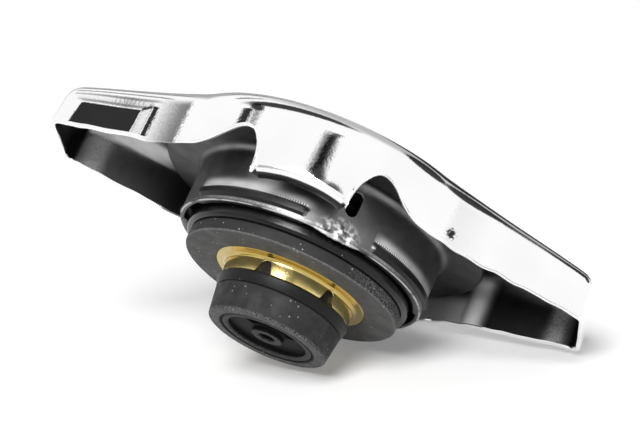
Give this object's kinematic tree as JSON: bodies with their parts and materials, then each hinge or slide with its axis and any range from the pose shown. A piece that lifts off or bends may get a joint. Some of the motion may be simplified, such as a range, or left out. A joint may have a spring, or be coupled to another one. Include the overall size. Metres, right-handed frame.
{
  "type": "radiator cap",
  "caption": "Winged bayonet pressure cap for a radiator filler neck, with a sprung valve plug, a wide rubber seal and a notched brass collar under a bright pressed cover.",
  "frame": {"origin": "centre of the valve's foot, on the cap's axis", "axes": "+Z along the cap's axis towards the cover, +X along the wings"},
  "size_m": [0.097, 0.0608, 0.0325],
  "materials": {
    "cover_plating": "bright plated, mirror gloss",
    "cup_steel": "satin with fine drawing lines and worn bright patches",
    "inner_steel": "dull plated",
    "spring_steel": "drawn wire",
    "carrier_plastic": "gloss black",
    "plug_plastic": "satin black moulding",
    "seal_rubber": "matte, dusty",
    "boot_rubber": "matte, dusty at the foot",
    "collar_brass": "bright pressed brass"
  },
  "bodies": {
    "cap_shell": {"outer_cover": "cover_plating", "bayonet_cup": "cup_steel", "reaction_plate": "inner_steel", "centre_rivet": "inner_steel"},
    "swivel_cage": {"spring_seat": "inner_steel", "spring_cage": "inner_steel", "pressure_spring": "spring_steel"},
    "pressure_valve": {"seal_carrier": "carrier_plastic", "upper_seal": "seal_rubber", "brass_retainer": "collar_brass", "snap_ring": "spring_steel", "valve_body": "plug_plastic", "stem_stop": "inner_steel", "valve_boot": "boot_rubber", "valve_insert": "plug_plastic", "vacuum_spring": "spring_steel"},
    "vacuum_valve": {"vacuum_poppet": "collar_brass", "vacuum_seal": "seal_rubber"}
  },
  "joints": [
    {"name": "cage_swivel", "type": "hinge", "parent": "cap_shell", "child": "swivel_cage", "pos_m": [0, 0, 0.0245], "axis": [0, 0, 1], "continuous": true},
    {"name": "valve_slide", "type": "slide", "parent": "swivel_cage", "child": "pressure_valve", "axis": [0, 0, 1], "range_m": [0, 0.006], "stiffness_N_per_m": 5000, "deforming": ["pressure_spring"]},
    {"name": "vacuum_slide", "type": "slide", "parent": "pressure_valve", "child": "vacuum_valve", "axis": [0, 0, -1], "range_m": [0, 0.001], "stiffness_N_per_m": 150, "deforming": ["vacuum_spring"]}
  ]
}
